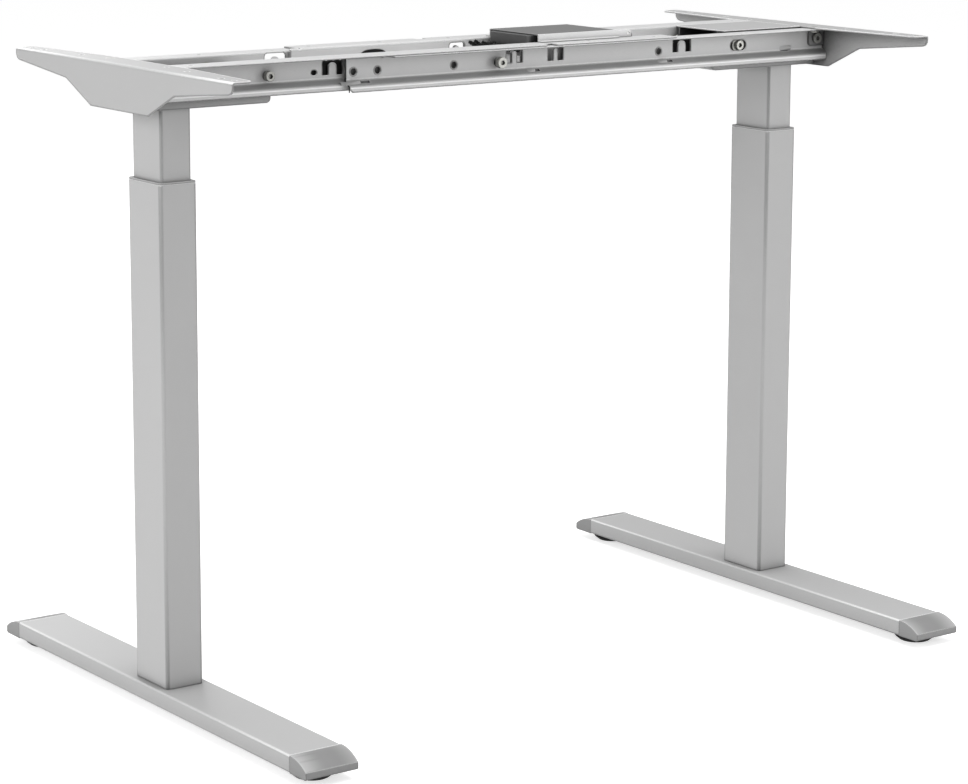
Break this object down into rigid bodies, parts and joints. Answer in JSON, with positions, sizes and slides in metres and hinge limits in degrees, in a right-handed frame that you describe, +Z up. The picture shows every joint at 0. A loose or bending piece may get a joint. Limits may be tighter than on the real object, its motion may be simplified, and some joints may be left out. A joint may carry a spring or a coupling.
{
  "type": "standing desk frame",
  "caption": "Height and width adjustable sit-stand desk frame: lifting columns on tube feet, nested sheet rails, end brackets for the desk top and a control box between the rails.",
  "frame": {"origin": "middle of the frame on the floor, under the bounding box's centre", "axes": "+X along the rails from the left column to the right one, -Y to the front, +Z up"},
  "size_m": [1.048, 0.718, 0.791],
  "materials": {
    "grey_paint": "satin powder coat",
    "white_paint": "satin",
    "steel": "plain",
    "zinc": "zinc plated",
    "cap_plastic": "matt",
    "light_plastic": "matt",
    "dark_plastic": "matt",
    "black_plastic": "matt"
  },
  "bodies": {
    "left_base": {"left_foot_tube": "grey_paint", "left_cap_front": "cap_plastic", "left_cap_rear": "cap_plastic", "left_foot_screws": "zinc", "left_base_plate": "steel", "left_outer_tube": "grey_paint", "left_guide_collar": "light_plastic", "left_push_tube": "steel", "left_spindle_nut": "light_plastic"},
    "left_top": {"left_inner_tube": "grey_paint", "left_guide_shoes": "light_plastic", "left_head_tray": "grey_paint", "left_gearbox": "black_plastic", "left_motor": "steel", "left_end_bracket": "grey_paint", "left_rail_fixings": "zinc", "left_bracket_screws": "zinc", "front_rail_inner": "grey_paint", "rear_rail_outer": "grey_paint", "rear_width_lock": "zinc"},
    "left_front_glide": {"left_glide_front": "black_plastic"},
    "left_rear_glide": {"left_glide_rear": "black_plastic"},
    "left_screw": {"left_spindle": "steel"},
    "right_base": {"right_foot_tube": "grey_paint", "right_cap_front": "cap_plastic", "right_cap_rear": "cap_plastic", "right_foot_screws": "zinc", "right_base_plate": "steel", "right_outer_tube": "grey_paint", "right_guide_collar": "light_plastic", "right_push_tube": "steel", "right_spindle_nut": "light_plastic"},
    "right_top": {"right_inner_tube": "grey_paint", "right_guide_shoes": "light_plastic", "right_head_tray": "grey_paint", "right_gearbox": "black_plastic", "right_motor": "steel", "right_end_bracket": "grey_paint", "right_rail_fixings": "zinc", "right_bracket_screws": "zinc", "front_rail_outer": "grey_paint", "rear_rail_inner": "grey_paint", "front_width_lock": "zinc", "right_motor_cover": "grey_paint", "control_box_body": "dark_plastic", "control_box_lid": "dark_plastic", "control_box_tray": "white_paint", "control_box_plugs": "black_plastic"},
    "right_front_glide": {"right_glide_front": "black_plastic"},
    "right_rear_glide": {"right_glide_rear": "black_plastic"},
    "right_screw": {"right_spindle": "steel"}
  },
  "joints": [
    {"name": "left_lift", "type": "slide", "parent": "left_base", "child": "left_top", "axis": [0, 0, 1], "range_m": [-0.076, 0.4]},
    {"name": "width_adjust", "type": "slide", "parent": "left_top", "child": "right_top", "axis": [1, 0, 0], "range_m": [-0.05, 0.25]},
    {"name": "right_lift", "type": "slide", "parent": "right_top", "child": "right_base", "axis": [0, 0, -1], "range_m": [-0.077, 0.401]},
    {"name": "left_screw_turn", "type": "hinge", "parent": "left_top", "child": "left_screw", "pos_m": [-0.4675, 0, 0.6], "axis": [0, 0, 1], "range_deg": [-2756, 14420]},
    {"name": "right_screw_turn", "type": "hinge", "parent": "right_top", "child": "right_screw", "pos_m": [0.4675, 0, 0.6], "axis": [0, 0, 1], "range_deg": [-2756, 14420]},
    {"name": "left_front_level", "type": "slide", "parent": "left_base", "child": "left_front_glide", "axis": [0, 0, -1], "range_m": [0, 0.01]},
    {"name": "left_rear_level", "type": "slide", "parent": "left_base", "child": "left_rear_glide", "axis": [0, 0, -1], "range_m": [0, 0.01]},
    {"name": "right_front_level", "type": "slide", "parent": "right_base", "child": "right_front_glide", "axis": [0, 0, -1], "range_m": [0, 0.01]},
    {"name": "right_rear_level", "type": "slide", "parent": "right_base", "child": "right_rear_glide", "axis": [0, 0, -1], "range_m": [0, 0.01]}
  ],
  "couplings": [
    {"joint": "right_lift", "follows": "left_lift", "ratio": 1},
    {"joint": "left_screw_turn", "follows": "left_lift", "rad_per_m": 628.32},
    {"joint": "right_screw_turn", "follows": "left_lift", "rad_per_m": 628.32}
  ]
}
